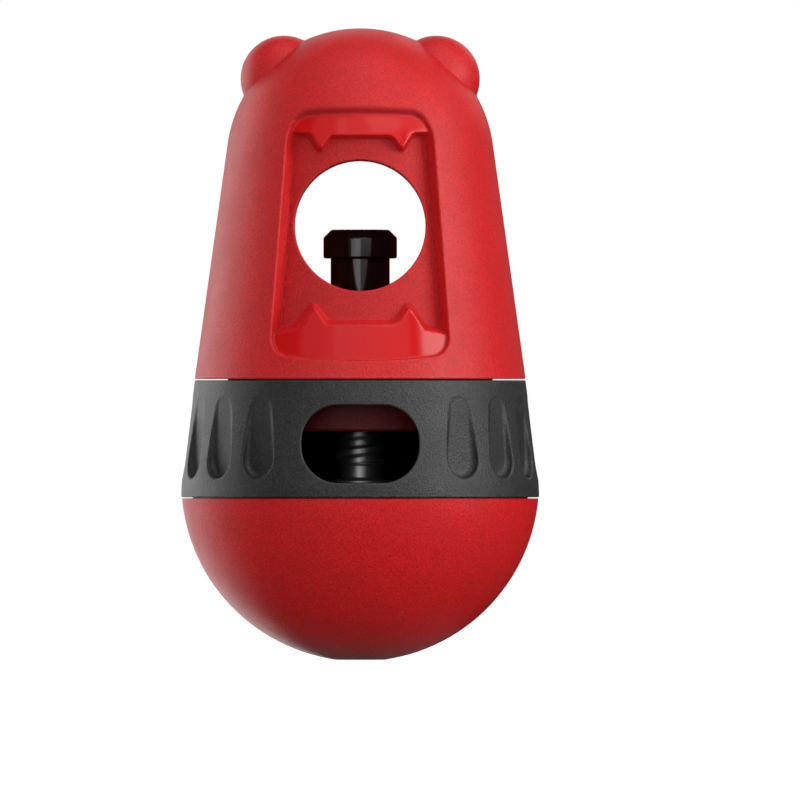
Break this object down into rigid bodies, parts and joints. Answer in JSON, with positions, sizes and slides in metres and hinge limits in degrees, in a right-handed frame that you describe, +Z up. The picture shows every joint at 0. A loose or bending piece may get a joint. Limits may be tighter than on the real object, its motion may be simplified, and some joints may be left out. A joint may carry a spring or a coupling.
{
  "type": "dog puzzle feeder",
  "caption": "Weighted roly-poly treat dispenser with a grinning hollow head, a turning fluted ring with a window over a treat cup, and a clamp knob in the mouth.",
  "frame": {"origin": "middle of the flat foot under the round base", "axes": "+Z up along the stud, the dispensing window and one mouth look along -Y, +X to the right seen from the front"},
  "size_m": [0.0878, 0.0878, 0.1549],
  "materials": {
    "shell_red": "fine spark-eroded grain, gums polished",
    "ring_grey": "fine spark-eroded grain",
    "gloss_black": "polished",
    "nut_black": "moulded",
    "washer_rubber": "matt",
    "weight_steel": "turned and zinc plated",
    "screw_steel": "zinc plated"
  },
  "bodies": {
    "base": {"base_shell": "shell_red", "counterweight": "weight_steel", "treat_cup": "gloss_black", "cup_screws": "screw_steel", "stud": "gloss_black", "stud_screw": "screw_steel", "seat_nut": "nut_black"},
    "ring": {"grip_ring": "ring_grey"},
    "head": {"head_shell": "shell_red", "chamber_lid": "shell_red", "lid_screws": "screw_steel"},
    "knob_seat": {"knob_washer": "washer_rubber"},
    "knob": {"knob": "gloss_black"}
  },
  "joints": [
    {"name": "ring_turn", "type": "hinge", "parent": "base", "child": "ring", "pos_m": [0, 0, 0.0542], "axis": [0, 0, 1], "range_deg": [0, 50]},
    {"name": "head_lift", "type": "slide", "parent": "base", "child": "head", "axis": [0, 0, 1], "range_m": [0, 0.045]},
    {"name": "knob_rise", "type": "slide", "parent": "head", "child": "knob_seat", "axis": [0, 0, 1], "range_m": [0, 0.0127]},
    {"name": "knob_turn", "type": "hinge", "parent": "knob_seat", "child": "knob", "pos_m": [0, 0, 0.09], "axis": [0, 0, 1], "range_deg": [0, 1080]}
  ],
  "couplings": [
    {"joint": "knob_rise", "follows": "knob_turn", "m_per_rad": 0.00066845}
  ]
}
